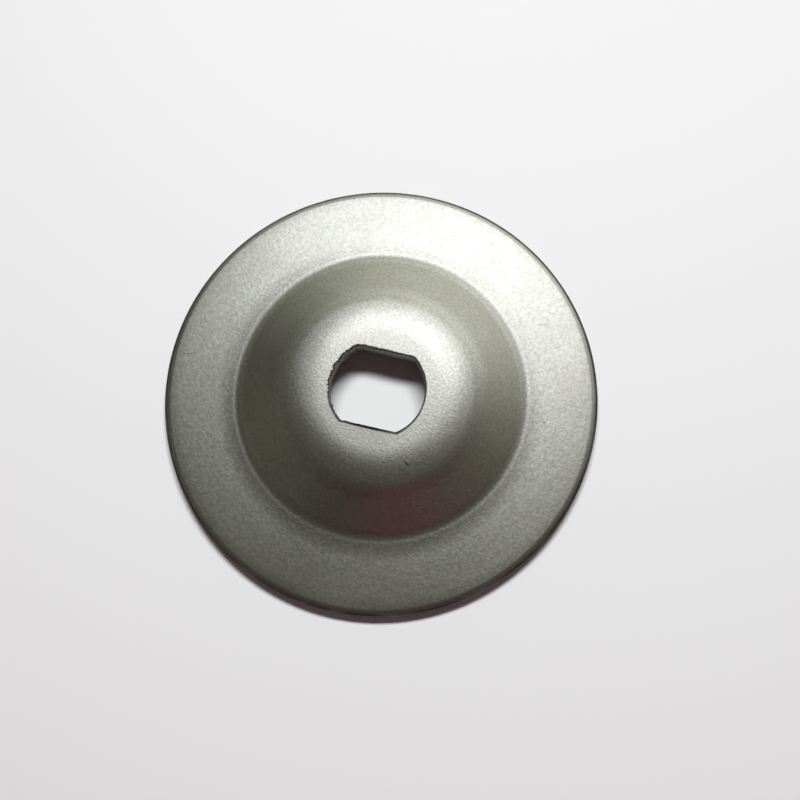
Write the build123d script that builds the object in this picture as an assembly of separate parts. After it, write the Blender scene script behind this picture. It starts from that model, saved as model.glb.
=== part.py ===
from build123d import *
import math
import os

# A dished thrust washer, pressed from one disc of sheet steel. The flat rim bears on the cutting
# blade, the hollow dome clears the collar under it, and the flat crown is the seat for the nut.
# The origin is on the axis, in the plane of the rim's lower face, and +Z points out of the dome.

# Pressed form, in millimetres. Bend radii are those of the upper face.
sheet = 2.5
rim_diameter = 56.0
dome_diameter = 36.2
land_diameter = 16.8
crown_rise = 4.2
base_radius = 3.6

# Share of the largest shoulder bend that the dome has room for. At 1 the bend would run from the
# crown's flat land down to the rim, with no straight flank.
shoulder_share = 0.85

# Edges left by the blanking and piercing tools and worn by tumbling
rim_roll_width = 0.9
rim_roll_depth = 0.6
rim_lower_break = 0.2
hole_upper_break = 0.2
hole_lower_break = 0.15

# Two-flat output shaft that the hole is keyed to
shaft_diameter = 12.0
shaft_across_flats = 9.7
shaft_clearance = 0.1
hole_corner_radius = 0.5

rim_radius = rim_diameter / 2
dome_radius = dome_diameter / 2
land_radius = land_diameter / 2
overall_height = sheet + crown_rise

# The flank is the straight line from the dome's foot that touches the shoulder bend.
dome_run = dome_radius - land_radius
shoulder_radius = shoulder_share * (dome_run**2 + crown_rise**2) / (2 * crown_rise)
flank_length = math.sqrt((1 - shoulder_share) * (dome_run**2 + crown_rise**2))
half_slope = (dome_run - flank_length) / (2 * shoulder_radius - crown_rise)
crown_radius = land_radius + shoulder_radius * half_slope


def sheet_face(height, inset, shoulder, base, rim_end):
    """One face of the sheet in section: crown, shoulder bend, flank, base bend and rim."""
    return FilletPolyline(
        (0, height + crown_rise),
        (crown_radius - inset, height + crown_rise),
        (dome_radius - inset, height),
        (rim_end, height),
        radius=[shoulder, base],
    )


def pressed_disc():
    """The disc after pressing, before it is pierced."""
    # Corners of the lower face lie inside those of the upper one, so that the sheet keeps its
    # thickness on the flank and the bends of the two faces share their centres.
    lower_inset = sheet * half_slope
    upper = sheet_face(sheet, 0, shoulder_radius, base_radius, rim_radius - rim_roll_width)
    lower = sheet_face(
        0, lower_inset, shoulder_radius - sheet, base_radius + sheet, rim_radius - rim_lower_break
    )
    roll = EllipticalCenterArc(
        (rim_radius - rim_roll_width, sheet - rim_roll_depth),
        x_radius=rim_roll_width,
        y_radius=rim_roll_depth,
        start_angle=0,
        arc_size=90,
    )
    lower_break = Line((rim_radius - rim_lower_break, 0), (rim_radius, rim_lower_break))
    wall = Line(roll @ 0, lower_break @ 1)
    axis_side = Line(lower @ 0, upper @ 0)
    section = make_face([upper, roll, wall, lower_break, lower, axis_side])
    return revolve(Plane.XZ * section, axis=Axis.Z)


def shaft_hole():
    """The double-D hole, keyed to the shaft's two flats."""
    round_part = Circle((shaft_diameter + shaft_clearance) / 2)
    between_flats = Rectangle(shaft_diameter + 2 * shaft_clearance, shaft_across_flats + shaft_clearance)
    outline = round_part & between_flats
    outline = fillet(outline.vertices(), hole_corner_radius)
    return extrude(outline, overall_height + sheet)


def hole_edges(part, normal_z):
    """The hole's edges in the highest flat face that looks up (1) or down (-1)."""
    flats = [face for face in part.faces().filter_by(Plane.XY) if face.normal_at().Z * normal_z > 0]
    crown_face = max(flats, key=lambda face: face.center().Z)
    return crown_face.inner_wires()[0].edges()


washer = pressed_disc() - shaft_hole()
washer = chamfer(hole_edges(washer, 1), hole_upper_break)
washer = chamfer(hole_edges(washer, -1), hole_lower_break)

os.makedirs("parts", exist_ok=True)
export_step(washer, "parts/thrust_washer.step")
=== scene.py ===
import math

import bpy
from mathutils import Matrix, Vector, noise


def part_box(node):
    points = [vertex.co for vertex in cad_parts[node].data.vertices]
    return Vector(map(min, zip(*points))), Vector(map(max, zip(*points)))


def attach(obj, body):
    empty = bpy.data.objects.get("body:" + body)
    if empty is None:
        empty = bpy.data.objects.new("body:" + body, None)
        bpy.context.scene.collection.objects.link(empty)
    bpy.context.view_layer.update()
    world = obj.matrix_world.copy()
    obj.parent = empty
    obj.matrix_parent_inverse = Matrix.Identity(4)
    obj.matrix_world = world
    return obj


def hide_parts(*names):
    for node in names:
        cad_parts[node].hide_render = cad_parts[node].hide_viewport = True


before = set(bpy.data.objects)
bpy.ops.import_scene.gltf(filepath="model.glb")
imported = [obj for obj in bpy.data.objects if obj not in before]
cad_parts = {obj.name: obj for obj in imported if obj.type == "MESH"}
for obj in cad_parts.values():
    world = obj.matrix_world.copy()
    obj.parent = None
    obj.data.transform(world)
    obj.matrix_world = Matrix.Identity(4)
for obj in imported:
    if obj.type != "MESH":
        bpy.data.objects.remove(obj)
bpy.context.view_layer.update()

MM = 0.001

# Section of the pressed sheet, in millimetres. Bend radii are those of the upper face.
washer_low, washer_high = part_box("thrust_washer")
RIM_RADIUS = (washer_high[0] - washer_low[0]) / MM / 2
HEIGHT = (washer_high[2] - washer_low[2]) / MM
SHEET = 2.5
RISE = HEIGHT - SHEET
DOME_RADIUS = 18.22
LAND_RADIUS = 7.6
BASE_RADIUS = 2.7
RIM_ROLL_WIDTH = 0.9
RIM_ROLL_DEPTH = 0.6
RIM_LOWER_BREAK = 0.2

# From the flat land round the hole the crown falls away gently, then turns into the steep flank.
CROWN_ANGLE = math.radians(10.8)
CROWN_CORNER = 9.61
SHOULDER_CORNER = 12.9
SHOULDER_RADIUS = 6.4
CROWN_RADIUS = (CROWN_CORNER - LAND_RADIUS) / math.tan(CROWN_ANGLE / 2)
SHOULDER_HEIGHT = RISE - (SHOULDER_CORNER - CROWN_CORNER) * math.tan(CROWN_ANGLE)

# Past the base bend the tool left a faint crease, and from there a short toe falls to the flat rim.
CREASE_ANGLE = math.radians(1.8)
CREASE_CORNER = 19.22
CREASE_RADIUS = 7.5
TOE_ANGLE = math.radians(4)
TOE_CORNER = 20.42
TOE_RADIUS = 28.0
CREASE_HEIGHT = (TOE_CORNER - CREASE_CORNER) * math.tan(TOE_ANGLE)
BASE_HEIGHT = CREASE_HEIGHT + (CREASE_CORNER - DOME_RADIUS) * math.tan(CREASE_ANGLE)
FLANK_ANGLE = math.atan2(SHOULDER_HEIGHT - BASE_HEIGHT, DOME_RADIUS - SHOULDER_CORNER)

# Double-D hole
HOLE_RADIUS = 6.05
HOLE_HALF_FLATS = 4.9
HOLE_UPPER_BREAK = 0.2
HOLE_LOWER_BREAK = 0.15
CORNER_SHARPNESS = 150

# Raggedness of the hole's wall: its depth all round, what the left and the far side add to it and
# the share that the near side loses, and the mean, coarse and fine parts of the tears
TEAR_DEPTH = 0.03
TEAR_DEPTH_LEFT = 0.16
TEAR_DEPTH_FAR = 0.05
TEAR_LOSS_NEAR = 0.8
TEAR_MEAN = 0.3
COARSE_TEARS = 0.6
COARSE_TEAR_SCALE = 10
FINE_TEARS = 1.1
FINE_TEAR_SCALE = 42

# Painted shade round the hole's lip, as a dark band: its width, what the near and the right side change,
# and its soft edge
LIP_SHADE_WIDTH = 0.14
LIP_SHADE_WIDTH_NEAR = 0.19
LIP_SHADE_WIDTH_RIGHT = -0.08
LIP_SHADE_SOFTNESS = 0.14
BURR_SCALE = 34

SEGMENTS = 720

# Camera, from the fit to the photograph, with lengths in millimetres
CAMERA_TARGET = Vector((2.44, 0.63, 0))
CAMERA_DISTANCE = 170
CAMERA_TILT = math.radians(12.17)
CAMERA_AZIMUTH = math.radians(-65.8)
PICTURE_TURN = math.radians(13.47)
LENS = 58.52
SENSOR = 36

# Picture directions on the floor: right and away from the camera
RIGHT = Vector((math.cos(PICTURE_TURN), math.sin(PICTURE_TURN), 0))
AWAY = Vector((-math.sin(PICTURE_TURN), math.cos(PICTURE_TURN), 0))
UP = Vector((0, 0, 1))

# The dome was pressed, and the hole pierced, slightly off the rim's axis.
FOOT_SHIFT = 0.16 * RIGHT + 0.22 * AWAY
CROWN_SHIFT = 0.2 * RIGHT
HOLE_SHIFT = 0.15 * AWAY - 0.08 * RIGHT


def bend(centre, radius, start, end, steps):
    """Points of an arc in the section, by angles in degrees from the +r axis."""
    points = []
    for step in range(steps + 1):
        angle = math.radians(start + (end - start) * step / steps)
        points.append((centre[0] + radius * math.cos(angle), centre[1] + radius * math.sin(angle)))
    return points


def run(start, end, steps):
    """Points between two ends, without the ends."""
    return [
        tuple(a + (b - a) * step / steps for a, b in zip(start, end))
        for step in range(1, steps)
    ]


def rounded(corners, radii, steps):
    """The polyline through some points in the section, with its inner corners rounded."""
    line = [corners[0]]
    for before, corner, after, radius in zip(corners, corners[1:], corners[2:], radii):
        corner = Vector(corner)
        back = (Vector(before) - corner).normalized()
        ahead = (Vector(after) - corner).normalized()
        half = back.angle(ahead) / 2
        centre = corner + (back + ahead).normalized() * radius / math.sin(half)
        reach = radius / math.tan(half)
        first = (corner + back * reach - centre).normalized()
        last = (corner + ahead * reach - centre).normalized()
        for step in range(steps + 1):
            line.append(tuple(centre + radius * first.slerp(last, step / steps)))
    return line + [corners[-1]]


def sheet_face(depth, rim_end, steps):
    """One face of the sheet in section, at a depth below the upper face: crown, flank and rim."""

    def under(radius, height, slope_before, slope_after):
        shift = depth / math.cos((slope_after - slope_before) / 2)
        mean = (slope_before + slope_after) / 2
        return radius - shift * math.sin(mean), height - shift * math.cos(mean)

    return rounded(
        [
            (LAND_RADIUS - 0.01, HEIGHT - depth),
            under(CROWN_CORNER, HEIGHT, 0, CROWN_ANGLE),
            under(SHOULDER_CORNER, SHEET + SHOULDER_HEIGHT, CROWN_ANGLE, FLANK_ANGLE),
            under(DOME_RADIUS, SHEET + BASE_HEIGHT, FLANK_ANGLE, CREASE_ANGLE),
            under(CREASE_CORNER, SHEET + CREASE_HEIGHT, CREASE_ANGLE, TOE_ANGLE),
            under(TOE_CORNER, SHEET, TOE_ANGLE, 0),
            (rim_end, SHEET - depth),
        ],
        [
            CROWN_RADIUS - depth, SHOULDER_RADIUS - depth, BASE_RADIUS + depth,
            CREASE_RADIUS - depth, TOE_RADIUS + depth,
        ],
        steps,
    )


def outer_section():
    """The section from the edge of the crown's flat, over the upper face and back under it."""
    roll_start = RIM_RADIUS - RIM_ROLL_WIDTH
    upper = sheet_face(0, roll_start, 9)
    lower = sheet_face(SHEET, RIM_RADIUS - RIM_LOWER_BREAK, 6)
    roll = [
        (roll_start + RIM_ROLL_WIDTH * x, SHEET - RIM_ROLL_DEPTH + RIM_ROLL_DEPTH * y)
        for x, y in bend((0, 0), 1, 90, 0, 9)
    ]
    wall_foot = (RIM_RADIUS, RIM_LOWER_BREAK)
    return (
        upper[:-1] + run(upper[-2], upper[-1], 5)
        + roll + run(roll[-1], wall_foot, 4) + [wall_foot]
        + lower[:0:-1]
    )


def round_axis(angle):
    """The direction from the axis at an angle."""
    return Vector((math.cos(angle), math.sin(angle), 0))


def facing(direction, side):
    """1 where a direction points to a side, falling to 0 square to it and beyond."""
    return max(direction.dot(side), 0)


def hole_radius(angle):
    """Distance from the axis to the wall of the double-D hole."""
    flat = HOLE_HALF_FLATS / max(abs(math.sin(angle)), 1e-6)
    return (HOLE_RADIUS ** -CORNER_SHARPNESS + flat ** -CORNER_SHARPNESS) ** (-1 / CORNER_SHARPNESS)


def tear(angle, height):
    """How far the torn wall of the pierced hole stands back, in millimetres."""
    around = round_axis(angle)
    coarse = noise.noise(around * COARSE_TEAR_SCALE + UP * height * 0.5)
    fine = noise.noise(around * FINE_TEAR_SCALE + UP * height)
    depth = TEAR_DEPTH + TEAR_DEPTH_LEFT * facing(around, -RIGHT) + TEAR_DEPTH_FAR * facing(around, AWAY)
    depth *= 1 - TEAR_LOSS_NEAR * facing(around, -AWAY)
    return depth * (TEAR_MEAN + COARSE_TEARS * coarse + FINE_TEARS * fine)


def hole_section(angle):
    """The section through the hole: under the crown, up the wall and back to the crown's flat."""
    wall = hole_radius(angle)
    lower = bend((wall + HOLE_LOWER_BREAK, RISE + HOLE_LOWER_BREAK), HOLE_LOWER_BREAK, 270, 180, 3)
    upper = bend((wall + HOLE_UPPER_BREAK, HEIGHT - HOLE_UPPER_BREAK), HOLE_UPPER_BREAK, 180, 90, 4)
    torn = [
        (radius + tear(angle, height), height)
        for radius, height in lower + run(lower[-1], upper[0], 8) + upper
    ]
    lip = torn[-1][0]
    land = [(lip + (LAND_RADIUS - lip) * share, HEIGHT) for share in (0.05, 0.1, 0.2, 0.4, 0.7)]
    return run((LAND_RADIUS, RISE), torn[0], 3) + torn + land


def fade(start, end, value):
    """0 at start, 1 at end, smooth between them."""
    share = min(max((value - start) / (end - start), 0), 1)
    return share * share * (3 - 2 * share)


def off_axis(radius):
    """How far the sheet lies off the rim's axis, at a distance from it."""
    shift = CROWN_SHIFT.lerp(FOOT_SHIFT, fade(SHOULDER_CORNER, DOME_RADIUS, radius))
    shift *= 1 - fade(DOME_RADIUS + 1.4, RIM_RADIUS - 3, radius)
    return shift.lerp(HOLE_SHIFT, 1 - fade(HOLE_RADIUS + 0.3, LAND_RADIUS, radius))


def edge_shade_and_wear(angle, radius, height):
    """How much painted shade lies on the rim's edge, the hole's lip and the foot of the hole's wall, and
    how torn the steel is at a place: two shares.
    """
    around = round_axis(angle)
    near = facing(around, -AWAY)
    right = facing(around, RIGHT)
    # Painted shade on the rim's rolled edge and outer wall, weaker towards the foot of the wall.
    rim_edge_shade = fade(RIM_RADIUS - 0.6, RIM_RADIUS - 0.1, radius)
    rim_edge_shade *= 0.6 + 0.4 * fade(SHEET - 1.2, SHEET - 0.5, height)
    # Painted shade on the hole's lip: a dark band, wider on the near side and narrower on the right.
    shade_band = hole_radius(angle) + tear(angle, height)
    shade_band += LIP_SHADE_WIDTH + LIP_SHADE_WIDTH_NEAR * near + LIP_SHADE_WIDTH_RIGHT * right
    at_hole = 1 - fade(shade_band, shade_band + LIP_SHADE_SOFTNESS, radius)
    at_lip = fade(HEIGHT - 0.4, HEIGHT - 0.15, height)
    # The painted shade of the lip is darker on the near side and lighter on the right, and burrs break
    # it, except on the near and the right side.
    burr = 0.9 * max(noise.noise(around * BURR_SCALE), 0) * (1 - near) * (1 - right)
    lip = at_lip * (0.9 + 0.1 * near - 0.2 * right - burr)
    # Painted shade on the hole's wall, darker towards its foot.
    lower_wall_shade = 0.6 * (1 - fade(RISE + 0.2, RISE + 1.9, height))
    return max(rim_edge_shade, at_hole * max(lip, lower_wall_shade)), at_hole * (1 - at_lip)


def washer_mesh():
    """The whole washer as one closed mesh: its section swept round the axis."""
    outer = outer_section()
    vertices = []
    painted_edge_shade = []
    torn = []
    for segment in range(SEGMENTS):
        angle = 2 * math.pi * segment / SEGMENTS
        around = round_axis(angle)
        for radius, height in outer + hole_section(angle):
            vertices.append((radius * around + height * UP + off_axis(radius)) * MM)
            shade_share, torn_share = edge_shade_and_wear(angle, radius, height)
            painted_edge_shade.append(shade_share)
            torn.append(torn_share)
    count = len(vertices) // SEGMENTS
    faces = []
    for segment in range(SEGMENTS):
        here = segment * count
        there = (segment + 1) % SEGMENTS * count
        for point in range(count):
            following = (point + 1) % count
            faces.append((here + point, there + point, there + following, here + following))
    mesh = bpy.data.meshes.new("washer")
    mesh.from_pydata(vertices, [], faces)
    mesh.polygons.foreach_set("use_smooth", [True] * len(mesh.polygons))
    mesh.attributes.new("painted_edge_shade", "FLOAT", "POINT").data.foreach_set("value", painted_edge_shade)
    mesh.attributes.new("torn", "FLOAT", "POINT").data.foreach_set("value", torn)
    washer = bpy.data.objects.new("washer", mesh)
    bpy.context.collection.objects.link(washer)
    return washer


class Shader:
    """Short ways to add nodes to a material."""

    def __init__(self, name):
        self.material = bpy.data.materials.new(name)
        self.material.use_nodes = True
        self.nodes = self.material.node_tree.nodes
        self.links = self.material.node_tree.links
        self.surface = self.nodes["Principled BSDF"]
        self.coordinates = self.nodes.new("ShaderNodeTexCoord").outputs["Object"]

    def noise(self, scale, detail, roughness=0.5):
        node = self.nodes.new("ShaderNodeTexNoise")
        node.inputs["Scale"].default_value = scale
        node.inputs["Detail"].default_value = detail
        node.inputs["Roughness"].default_value = roughness
        self.links.new(self.coordinates, node.inputs["Vector"])
        return node.outputs["Fac"]

    def attribute(self, name):
        node = self.nodes.new("ShaderNodeAttribute")
        node.attribute_name = name
        return node.outputs["Fac"]

    def spread(self, value, low, high, to_low, to_high):
        """Maps the range from low to high to another range, smoothly and not past its ends."""
        node = self.nodes.new("ShaderNodeMapRange")
        node.interpolation_type = "SMOOTHSTEP"
        ends = {"From Min": low, "From Max": high, "To Min": to_low, "To Max": to_high}
        for socket, number in ends.items():
            node.inputs[socket].default_value = number
        self.links.new(value, node.inputs["Value"])
        return node.outputs["Result"]

    def math(self, operation, first, second):
        node = self.nodes.new("ShaderNodeMath")
        node.operation = operation
        for socket, value in zip(node.inputs, (first, second)):
            if isinstance(value, (int, float)):
                socket.default_value = value
            else:
                self.links.new(value, socket)
        return node.outputs["Value"]

    def mix(self, factor, first, second):
        """The first colour where the factor is 0, and the second where it is 1."""
        node = self.nodes.new("ShaderNodeMix")
        node.data_type = "RGBA"
        self.links.new(factor, node.inputs["Factor"])
        for name, value in (("A", first), ("B", second)):
            socket = next(s for s in node.inputs if s.name == name and s.type == "RGBA")
            if isinstance(value, tuple):
                socket.default_value = value
            else:
                self.links.new(value, socket)
        return next(s for s in node.outputs if s.type == "RGBA")

    def length(self, vector):
        node = self.nodes.new("ShaderNodeVectorMath")
        node.operation = "LENGTH"
        self.links.new(vector, node.inputs[0])
        return node.outputs["Value"]

    def mark(self, centre, angle, length, width):
        """1 on a short line on the upper face and 0 off it, in millimetres and degrees."""
        place = self.nodes.new("ShaderNodeMapping")
        place.vector_type = "TEXTURE"
        place.inputs["Location"].default_value = Vector(centre) * MM
        place.inputs["Rotation"].default_value = (0, 0, math.radians(angle))
        place.inputs["Scale"].default_value = Vector((length / 2, width / 2, 1)) * MM
        self.links.new(self.coordinates, place.inputs["Vector"])
        return self.spread(self.length(place.outputs["Vector"]), 0.5, 1, 1, 0)

    def bump(self, height, strength, distance):
        node = self.nodes.new("ShaderNodeBump")
        node.inputs["Strength"].default_value = strength
        node.inputs["Distance"].default_value = distance
        self.links.new(height, node.inputs["Height"])
        self.links.new(node.outputs["Normal"], self.surface.inputs["Normal"])


# Colours of the steel: its grain from dark to light, faint stains, nicks, the torn edges, and near-black
# painted shade on the sheared edges
GRAIN_DARK = (0.31, 0.32, 0.265, 1)
GRAIN_LIGHT = (0.41, 0.42, 0.355, 1)
STAIN = (0.31, 0.30, 0.255, 1)
NICK = (0.03, 0.03, 0.028, 1)
TORN_STEEL = (0.23, 0.21, 0.19, 1)
SHEARED_EDGE_SHADE = (0.018, 0.016, 0.015, 1)

# Nicks and scratches on the upper face: place, direction, length, width and darkness
MARKS = (
    ((5.67, -8.31, 6.6), -32, 1.3, 0.2, 0.9),
    ((21.29, 1.45, 2.5), 20, 0.4, 0.25, 0.6),
    ((7.6, 21.7, 2.5), 40, 0.9, 0.16, 0.35),
    ((9.5, 23.2, 2.5), 30, 0.7, 0.16, 0.35),
    ((18.3, 14.0, 2.5), 13, 2.4, 0.14, 0.3),
    ((-26.0, -0.1, 2.5), 13, 1.7, 0.15, 0.45),
    ((10.9, -22.1, 2.5), 60, 0.35, 0.25, 0.5),
    ((12.1, -24.4, 2.5), 0, 0.3, 0.25, 0.5),
)


def steel_material():
    """Satin grey steel, grained by tumbling, with painted shade on the sheared edges and a few nicks."""
    steel = Shader("satin_steel")
    grain = steel.noise(3000, 3, 0.6)
    mottle = steel.noise(260, 3)
    cloud = steel.noise(60, 2)
    painted_edge_shade = steel.attribute("painted_edge_shade")
    torn = steel.attribute("torn")

    colour = steel.mix(steel.spread(grain, 0.3, 0.7, 0, 1), GRAIN_DARK, GRAIN_LIGHT)
    colour = steel.mix(steel.spread(mottle, 0.3, 0.75, 0, 0.3), colour, STAIN)
    for centre, angle, length, width, darkness in MARKS:
        mark = steel.math("MULTIPLY", steel.mark(centre, angle, length, width), darkness)
        colour = steel.mix(mark, colour, NICK)
    colour = steel.mix(torn, colour, TORN_STEEL)
    # Near-black painted shade on the hole's lip, the rim's rolled edge and the foot of the hole's wall,
    # broken up a little by the mottle.
    edge = steel.math("MULTIPLY", painted_edge_shade, steel.spread(mottle, 0.25, 0.6, 0.8, 1))
    colour = steel.mix(edge, colour, SHEARED_EDGE_SHADE)
    steel.links.new(colour, steel.surface.inputs["Base Color"])
    steel.surface.inputs["Metallic"].default_value = 1.0
    rough = steel.spread(cloud, 0.3, 0.7, 0.23, 0.27)
    worn = steel.math("MULTIPLY", steel.math("MAXIMUM", painted_edge_shade, torn), 0.35)
    steel.links.new(steel.math("ADD", rough, worn), steel.surface.inputs["Roughness"])
    steel.bump(grain, 1.0, 0.000012)
    return steel.material


# The floor goes over into the backdrop between two distances from the washer's axis, in metres.
FLOOR_HALF = 2.0
FLOOR_COLOUR = (0.815, 0.85, 0.85, 1)
BACKDROP = (0.8, 0.8, 0.8, 1)
BACKDROP_START = 0.07
BACKDROP_FULL = 0.16


def floor_material():
    """Pale and matt, and far from the washer the same as the plain backdrop."""
    pale = Shader("pale_floor")
    pale.surface.inputs["Base Color"].default_value = FLOOR_COLOUR
    pale.surface.inputs["Roughness"].default_value = 0.9
    pale.surface.inputs["Specular IOR Level"].default_value = 0.1
    paths = pale.nodes.new("ShaderNodeLightPath").outputs
    seen = pale.math("MAXIMUM", paths["Is Camera Ray"], paths["Is Glossy Ray"])
    beyond = pale.spread(pale.length(pale.coordinates), BACKDROP_START, BACKDROP_FULL, 0, 1)
    backdrop = pale.nodes.new("ShaderNodeEmission")
    backdrop.inputs["Color"].default_value = BACKDROP
    mixed = pale.nodes.new("ShaderNodeMixShader")
    pale.links.new(pale.math("MULTIPLY", seen, beyond), mixed.inputs["Fac"])
    pale.links.new(pale.surface.outputs["BSDF"], mixed.inputs[1])
    pale.links.new(backdrop.outputs["Emission"], mixed.inputs[2])
    pale.links.new(mixed.outputs["Shader"], pale.nodes["Material Output"].inputs["Surface"])
    return pale.material


def floor():
    half = FLOOR_HALF
    corners = [(-half, -half, 0), (half, -half, 0), (half, half, 0), (-half, half, 0)]
    mesh = bpy.data.meshes.new("floor")
    mesh.from_pydata(corners, [], [(0, 1, 2, 3)])
    plane = bpy.data.objects.new("floor", mesh)
    bpy.context.collection.objects.link(plane)
    plane.data.materials.append(floor_material())


def look_at(obj, place, target, up):
    """Puts a camera or lamp at a place, looking at a target, with its top towards up."""
    back = (place - target).normalized()
    right = up.cross(back).normalized()
    top = back.cross(right)
    obj.matrix_world = Matrix((
        (right.x, top.x, back.x, place.x),
        (right.y, top.y, back.y, place.y),
        (right.z, top.z, back.z, place.z),
        (0, 0, 0, 1),
    ))


def camera():
    data = bpy.data.cameras.new("camera")
    data.sensor_width = SENSOR
    data.sensor_fit = "HORIZONTAL"
    data.lens = LENS
    data.clip_start = 0.01
    eye = bpy.data.objects.new("camera", data)
    bpy.context.collection.objects.link(eye)
    direction = math.sin(CAMERA_TILT) * round_axis(CAMERA_AZIMUTH) + math.cos(CAMERA_TILT) * UP
    look_at(eye, (CAMERA_TARGET + CAMERA_DISTANCE * direction) * MM, CAMERA_TARGET * MM, AWAY)
    bpy.context.scene.camera = eye


def area_lamp(name, right, away, up, size, power, shape="RECTANGLE"):
    """A soft lamp at a place given in metres along the picture's directions."""
    data = bpy.data.lights.new(name, "AREA")
    data.shape = shape
    data.size, data.size_y = size
    data.energy = power
    lamp = bpy.data.objects.new(name, data)
    bpy.context.collection.objects.link(lamp)
    look_at(lamp, right * RIGHT + away * AWAY + up * UP, Vector((0, 0, 0)), AWAY)
    lamp.visible_camera = False
    return lamp


def toward(zenith, azimuth):
    """A direction by its angles from straight up and, on the floor, from the picture's right."""
    zenith, azimuth = math.radians(zenith), math.radians(azimuth)
    level = math.cos(azimuth) * RIGHT + math.sin(azimuth) * AWAY
    return math.sin(zenith) * level + math.cos(zenith) * UP


# What the steel mirrors of the room: pale patches behind and to the right, and dim ones to the left
# and in front. Each has its angles in degrees from straight up and from the right, its narrowness
# and its colour. Gloom fills the room between them.
GLOOM = (0.040, 0.040, 0.034)
PATCHES = (
    (67, 87, 5.9, (0.99, 1.0, 0.97)),
    (52, 51, 11.2, (1.0, 1.01, 1.13)),
    (91, 34, 2.5, (0.584, 0.573, 0.518)),
    (60, 185, 6.0, (0.14, 0.132, 0.118)),
    (50, 282, 9.0, (0.108, 0.008, 0.036)),
    (14, 250, 20.0, (0.04, 0.039, 0.034)),
)

# Low down in front the wall is pale again. Its level is a product over two directions, which have
# the part of a ray along them where the wall starts, the part where it is full, and its level there.
FRONT_WALL = ((UP, 0.35, 0.08, 0.85), (-AWAY, 0.35, 0.75, 1))

# Dim light all round on what isn't mirrored
AMBIENT = (1.0, 0.56, 0.6, 1)
AMBIENT_STRENGTH = 0.12


def surroundings():
    """A room that is pale behind the washer and to its right, and dark in front of it."""
    world = bpy.data.worlds.new("surroundings")
    bpy.context.scene.world = world
    world.use_nodes = True
    nodes = world.node_tree.nodes
    links = world.node_tree.links
    direction = nodes.new("ShaderNodeTexCoord").outputs["Generated"]

    def vector_math(operation, first, second):
        node = nodes.new("ShaderNodeVectorMath")
        node.operation = operation
        for socket, value in zip(node.inputs, (first, second)):
            if isinstance(value, bpy.types.NodeSocket):
                links.new(value, socket)
            else:
                socket.default_value = value
        return node

    def along(axis):
        return vector_math("DOT_PRODUCT", direction, axis).outputs["Value"]

    mirrored = GLOOM
    for zenith, azimuth, narrowness, colour in PATCHES:
        falloff = nodes.new("ShaderNodeMath")
        falloff.operation = "MULTIPLY_ADD"
        links.new(along(toward(zenith, azimuth)), falloff.inputs[0])
        falloff.inputs[1].default_value = narrowness
        falloff.inputs[2].default_value = -narrowness
        level = nodes.new("ShaderNodeMath")
        level.operation = "EXPONENT"
        links.new(falloff.outputs["Value"], level.inputs[0])
        patch = nodes.new("ShaderNodeVectorMath")
        patch.operation = "SCALE"
        patch.inputs[0].default_value = colour
        links.new(level.outputs["Value"], patch.inputs["Scale"])
        mirrored = vector_math("ADD", patch.outputs["Vector"], mirrored).outputs["Vector"]
    wall = nodes.new("ShaderNodeMath")
    wall.operation = "MULTIPLY"
    for socket, (axis, start, full, level) in zip(wall.inputs, FRONT_WALL):
        part = nodes.new("ShaderNodeMapRange")
        part.interpolation_type = "SMOOTHSTEP"
        part.inputs["From Min"].default_value = start
        part.inputs["From Max"].default_value = full
        part.inputs["To Max"].default_value = level
        links.new(along(axis), part.inputs["Value"])
        links.new(part.outputs["Result"], socket)
    mirrored = vector_math("ADD", wall.outputs["Value"], mirrored).outputs["Vector"]

    room = nodes["Background"]
    links.new(mirrored, room.inputs["Color"])
    ambient = nodes.new("ShaderNodeBackground")
    ambient.inputs["Color"].default_value = AMBIENT
    ambient.inputs["Strength"].default_value = AMBIENT_STRENGTH
    backdrop = nodes.new("ShaderNodeBackground")
    backdrop.inputs["Color"].default_value = BACKDROP
    paths = nodes.new("ShaderNodeLightPath")
    shader = ambient.outputs["Background"]
    for ray, background in (("Is Glossy Ray", room), ("Is Camera Ray", backdrop)):
        mixed = nodes.new("ShaderNodeMixShader")
        links.new(paths.outputs[ray], mixed.inputs["Fac"])
        links.new(shader, mixed.inputs[1])
        links.new(background.outputs["Background"], mixed.inputs[2])
        shader = mixed.outputs["Shader"]
    links.new(shader, nodes["World Output"].inputs["Surface"])


# Discs of a sheen lamp, one inside the other for a soft edge: name, and width as a share of the spread
SHEEN_DISCS = (("core", 2.4), ("edge", 5.12))


def sheen_lamp(name, right, away, up, spread, power, colour):
    """A lamp that only the sheen of the steel shows."""
    for part, share in SHEEN_DISCS:
        size = spread * share
        disc_power = power / len(SHEEN_DISCS)
        lamp = area_lamp(f"{name}_{part}", right, away, up, (size, size), disc_power, "DISK")
        lamp.visible_diffuse = False
        lamp.data.color = colour


def lights():
    floor_lamp = area_lamp(
        "floor_lamp", right=0.022, away=0.118, up=0.339, size=(0.15, 0.0525), power=1.27
    )
    floor_lamp.visible_glossy = False
    sheen_lamp(
        "sheen_left", right=-0.0081, away=0.0768, up=0.1743,
        spread=0.02894, power=0.061, colour=(1.0, 0.993, 1.15),
    )
    sheen_lamp(
        "sheen_right", right=0.0336, away=0.0685, up=0.1758,
        spread=0.02742, power=0.0425, colour=(1.0, 0.987, 1.08),
    )
    surroundings()


washer = washer_mesh()
washer.data.materials.append(steel_material())
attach(washer, "root")
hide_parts("thrust_washer")
floor()
camera()
lights()
bpy.context.scene.view_settings.view_transform = "Standard"
